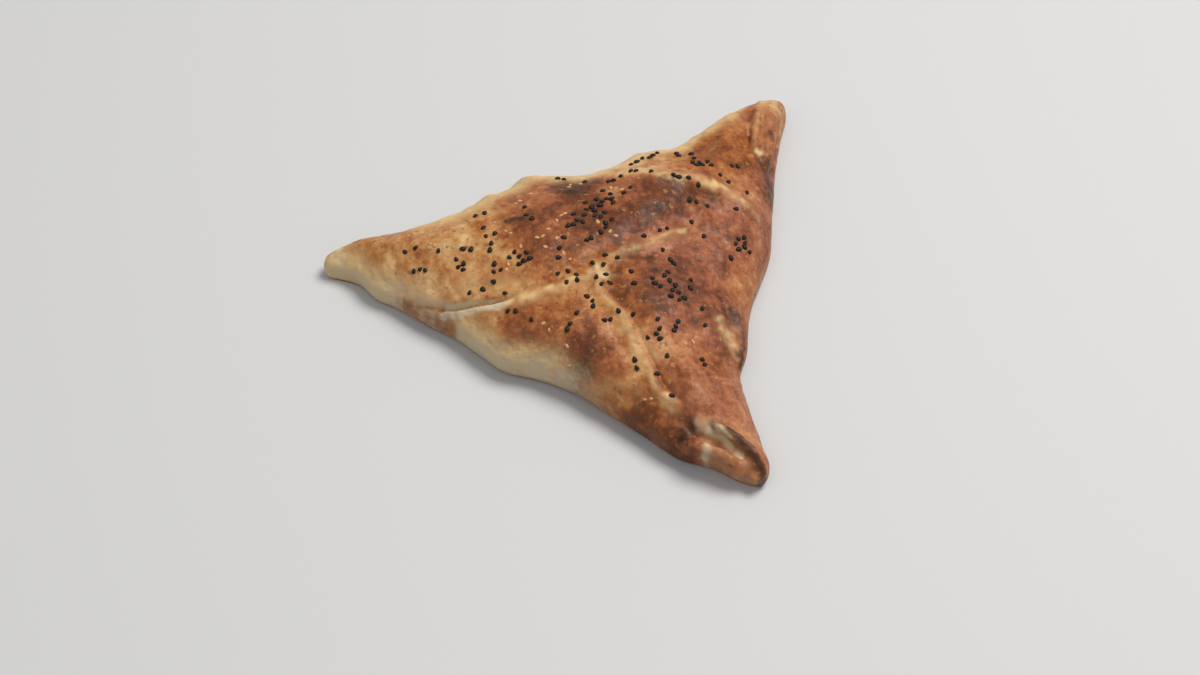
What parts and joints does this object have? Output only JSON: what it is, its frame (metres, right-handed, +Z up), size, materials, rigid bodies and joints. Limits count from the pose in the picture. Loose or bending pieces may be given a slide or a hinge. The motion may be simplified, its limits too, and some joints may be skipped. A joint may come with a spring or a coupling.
{
  "type": "fatayer",
  "caption": "Large baked triangular pastry parcel with pinched seams meeting on top, a golden-brown blistered crust, rolled tips and scattered black and white seeds.",
  "frame": {"origin": "on the table under the middle of the parcel, at the centre of its bounding box", "axes": "+Z up from the flat base, +Y away from the eater along the longest extent, +X to the right, away from the tip that points left"},
  "size_m": [0.2032, 0.2096, 0.0369],
  "materials": {
    "baked_crust": "baked golden-brown dough, egg-washed, semi-gloss with darker blisters"
  },
  "bodies": {
    "root": {"fatayer": "baked_crust"}
  },
  "joints": []
}
